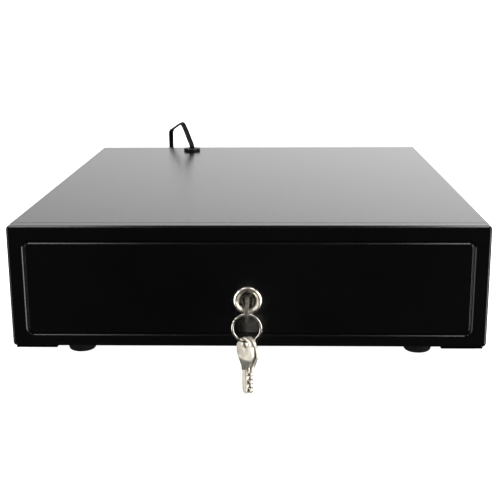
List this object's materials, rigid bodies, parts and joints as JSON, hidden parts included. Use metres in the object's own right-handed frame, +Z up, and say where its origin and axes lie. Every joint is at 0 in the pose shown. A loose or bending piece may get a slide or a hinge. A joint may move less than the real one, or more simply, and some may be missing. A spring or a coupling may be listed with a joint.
{
  "type": "cash drawer",
  "caption": "Low black steel cash drawer with a beaded front, cam lock with keys on a ring, ball-bearing slides, a till with note clips and coin cups, and a flat lead from a rear grommet.",
  "frame": {"origin": "centre of the four mounting holes in the base pan, on the pan's underside, midway between the sides and between the front and rear faces", "axes": "+X to the right seen from the front, +Y to the rear, +Z up"},
  "size_m": [0.35, 0.5166, 0.1431],
  "materials": {
    "black_coat": "fine satin black powder coat on sheet steel",
    "zinc_plate": "bright zinc plate",
    "bright_steel": "drawn and stamped spring steel",
    "polished_nickel": "polished nickel plate",
    "key_nickel": "stamped nickel silver",
    "foot_rubber": "moulded rubber",
    "till_plastic": "moulded ABS with a fine grain",
    "clip_plastic": "moulded acetal",
    "coil_wrap": "wrapped copper winding",
    "switch_plastic": "moulded plastic",
    "grommet_plastic": "moulded nylon",
    "cord_jacket": "flat PVC jacket",
    "clear_plug": "clear moulded polycarbonate"
  },
  "bodies": {
    "housing": {"top_cover": "black_coat", "base_pan": "zinc_plate", "rear_panel": "black_coat", "cover_screws": "zinc_plate", "foot_front_left": "foot_rubber", "foot_front_right": "foot_rubber", "foot_rear_left": "foot_rubber", "foot_rear_right": "foot_rubber", "foot_screws": "zinc_plate", "slide_outer_left": "zinc_plate", "slide_outer_right": "zinc_plate", "lock_keeper": "zinc_plate", "latch_bracket": "zinc_plate", "latch_pin": "bright_steel", "latch_spring": "bright_steel", "solenoid_frame": "zinc_plate", "solenoid_coil": "coil_wrap", "switch_body": "switch_plastic", "ejector_guide": "zinc_plate", "ejector_spring": "bright_steel", "cord_grommet": "grommet_plastic", "inner_lead": "cord_jacket", "cord_tube": "cord_jacket", "cord_coil": "cord_jacket", "cord_tie": "cord_jacket", "cord_plug": "clear_plug"},
    "drawer": {"drawer_tray": "black_coat", "front_panel": "black_coat", "panel_nuts": "zinc_plate", "latch_strike": "zinc_plate", "slide_inner_left": "zinc_plate", "slide_inner_right": "zinc_plate", "lock_barrel": "polished_nickel", "lock_nut": "polished_nickel"},
    "middle_left": {"slide_middle_left": "zinc_plate"},
    "middle_right": {"slide_middle_right": "zinc_plate"},
    "outer_cage_left": {"cage_outer_left": "bright_steel"},
    "outer_cage_right": {"cage_outer_right": "bright_steel"},
    "inner_cage_left": {"cage_inner_left": "bright_steel"},
    "inner_cage_right": {"cage_inner_right": "bright_steel"},
    "plug": {"lock_plug": "polished_nickel", "lock_cam": "zinc_plate", "cam_screw": "zinc_plate"},
    "inserted_key": {"key_inserted": "key_nickel"},
    "ring": {"key_ring": "polished_nickel"},
    "front_key": {"key_front": "key_nickel"},
    "back_key": {"key_back": "key_nickel"},
    "till_insert": {"till": "till_plastic", "clip_rod": "zinc_plate", "clip_springs": "bright_steel"},
    "coins": {"coin_tray": "till_plastic"},
    "clip_1": {"note_clip_1": "clip_plastic"},
    "clip_2": {"note_clip_2": "clip_plastic"},
    "clip_3": {"note_clip_3": "clip_plastic"},
    "clip_4": {"note_clip_4": "clip_plastic"},
    "latch": {"latch_lever": "bright_steel"},
    "plunger": {"solenoid_plunger": "zinc_plate"},
    "switch_arm": {"switch_lever": "bright_steel"}
  },
  "joints": [
    {"name": "drawer_slide", "type": "slide", "parent": "housing", "child": "drawer", "axis": [0, -1, 0], "range_m": [0, 0.3]},
    {"name": "middle_left_slide", "type": "slide", "parent": "housing", "child": "middle_left", "axis": [0, -1, 0], "range_m": [0, 0.15]},
    {"name": "outer_cage_left_slide", "type": "slide", "parent": "housing", "child": "outer_cage_left", "axis": [0, -1, 0], "range_m": [0, 0.075]},
    {"name": "inner_cage_left_slide", "type": "slide", "parent": "housing", "child": "inner_cage_left", "axis": [0, -1, 0], "range_m": [0, 0.225]},
    {"name": "middle_right_slide", "type": "slide", "parent": "housing", "child": "middle_right", "axis": [0, -1, 0], "range_m": [0, 0.15]},
    {"name": "outer_cage_right_slide", "type": "slide", "parent": "housing", "child": "outer_cage_right", "axis": [0, -1, 0], "range_m": [0, 0.075]},
    {"name": "inner_cage_right_slide", "type": "slide", "parent": "housing", "child": "inner_cage_right", "axis": [0, -1, 0], "range_m": [0, 0.225]},
    {"name": "plug_turn", "type": "hinge", "parent": "drawer", "child": "plug", "pos_m": [0, -0.19, 0.0364], "axis": [0, 1, 0], "range_deg": [0, 90]},
    {"name": "key_pull", "type": "slide", "parent": "plug", "child": "inserted_key", "axis": [0, -1, 0], "range_m": [0, 0.014]},
    {"name": "ring_swing", "type": "hinge", "parent": "inserted_key", "child": "ring", "pos_m": [0, -0.2318, 0.0346], "axis": [1, 0, 0], "range_deg": [-40, 12]},
    {"name": "front_key_swing", "type": "hinge", "parent": "ring", "child": "front_key", "pos_m": [-0.0008, -0.2318, 0.01463], "axis": [1, 0, 0], "range_deg": [-10, 0]},
    {"name": "back_key_swing", "type": "hinge", "parent": "ring", "child": "back_key", "pos_m": [0.0022, -0.2318, 0.01485], "axis": [1, 0, 0], "range_deg": [0, 8]},
    {"name": "till_lift", "type": "slide", "parent": "drawer", "child": "till_insert", "axis": [0, 0, 1], "range_m": [0, 0.005]},
    {"name": "coin_tray_lift", "type": "slide", "parent": "till_insert", "child": "coins", "axis": [0, 0, 1], "range_m": [0, 0.005]},
    {"name": "note_clip_1_lift", "type": "hinge", "parent": "till_insert", "child": "clip_1", "pos_m": [-0.11753, 0.1311, 0.0563], "axis": [-1, 0, 0], "range_deg": [0, 30], "stiffness_Nm_per_rad": 0.02, "springref_deg": -34.38},
    {"name": "note_clip_2_lift", "type": "hinge", "parent": "till_insert", "child": "clip_2", "pos_m": [-0.03918, 0.1311, 0.0563], "axis": [-1, 0, 0], "range_deg": [0, 30], "stiffness_Nm_per_rad": 0.02, "springref_deg": -34.38},
    {"name": "note_clip_3_lift", "type": "hinge", "parent": "till_insert", "child": "clip_3", "pos_m": [0.03918, 0.1311, 0.0563], "axis": [-1, 0, 0], "range_deg": [0, 30], "stiffness_Nm_per_rad": 0.02, "springref_deg": -34.38},
    {"name": "note_clip_4_lift", "type": "hinge", "parent": "till_insert", "child": "clip_4", "pos_m": [0.11753, 0.1311, 0.0563], "axis": [-1, 0, 0], "range_deg": [0, 30], "stiffness_Nm_per_rad": 0.02, "springref_deg": -34.38},
    {"name": "latch_turn", "type": "hinge", "parent": "housing", "child": "latch", "pos_m": [-0.014, 0.1775, 0.009], "axis": [0, 0, 1], "range_deg": [0, 16]},
    {"name": "plunger_slide", "type": "slide", "parent": "housing", "child": "plunger", "axis": [-1, 0, 0], "range_m": [0, 0.00277]},
    {"name": "switch_press", "type": "hinge", "parent": "housing", "child": "switch_arm", "pos_m": [0.067, 0.1488, 0.007], "axis": [0, 0, -1], "range_deg": [0, 4], "stiffness_Nm_per_rad": 0.003, "springref_deg": -5.73}
  ],
  "couplings": [
    {"joint": "middle_left_slide", "follows": "drawer_slide", "ratio": 0.5},
    {"joint": "outer_cage_left_slide", "follows": "drawer_slide", "ratio": 0.25},
    {"joint": "inner_cage_left_slide", "follows": "drawer_slide", "ratio": 0.75},
    {"joint": "middle_right_slide", "follows": "drawer_slide", "ratio": 0.5},
    {"joint": "outer_cage_right_slide", "follows": "drawer_slide", "ratio": 0.25},
    {"joint": "inner_cage_right_slide", "follows": "drawer_slide", "ratio": 0.75},
    {"joint": "plunger_slide", "follows": "latch_turn", "m_per_rad": 0.00987}
  ]
}
